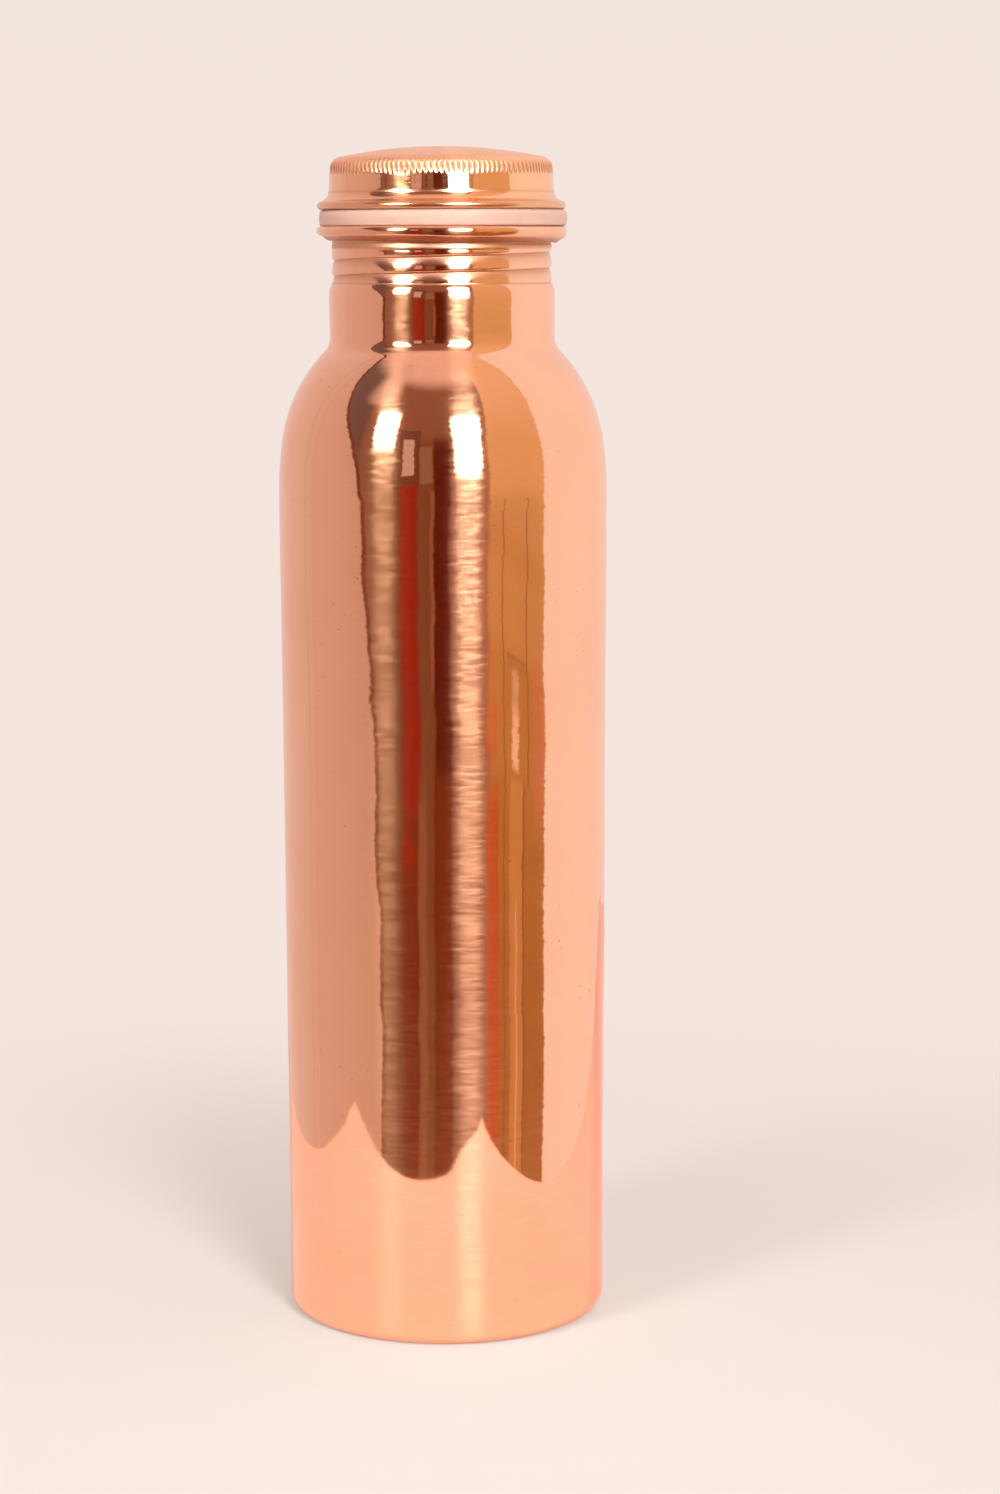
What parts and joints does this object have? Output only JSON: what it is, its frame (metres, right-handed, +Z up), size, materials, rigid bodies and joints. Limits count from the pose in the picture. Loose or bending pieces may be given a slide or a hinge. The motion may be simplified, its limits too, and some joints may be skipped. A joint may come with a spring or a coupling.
{
  "type": "copper water bottle",
  "caption": "Tall round copper water bottle with a domed knurled screw-in lid, a silicone sealing ring and a rolled neck thread.",
  "frame": {"origin": "centre of the circle the bottle stands on", "axes": "+Z up along the bottle's axis; the lower end of the neck thread's groove is on +X"},
  "size_m": [0.0746, 0.0746, 0.2677],
  "materials": {
    "polished_copper": "mirror-polished copper with fine turning lines, clear-lacquered",
    "lid_copper": "polished copper, satin on the crown",
    "plug_copper": "bare drawn copper",
    "silicone": "translucent matt silicone"
  },
  "bodies": {
    "bottle": {"bottle_body": "polished_copper"},
    "seal": {"sealing_ring": "silicone"},
    "lid": {"lid_cap": "lid_copper", "lid_threaded_plug": "plug_copper"}
  },
  "joints": [
    {"name": "lid_lift", "type": "slide", "parent": "bottle", "child": "seal", "axis": [0, 0, 1], "range_m": [0, 0.0185]},
    {"name": "lid_turn", "type": "hinge", "parent": "seal", "child": "lid", "pos_m": [0, 0, 0.2518], "axis": [0, 0, 1], "range_deg": [0, 1890]}
  ],
  "couplings": [
    {"joint": "lid_lift", "follows": "lid_turn", "m_per_rad": 0.00055704}
  ]
}
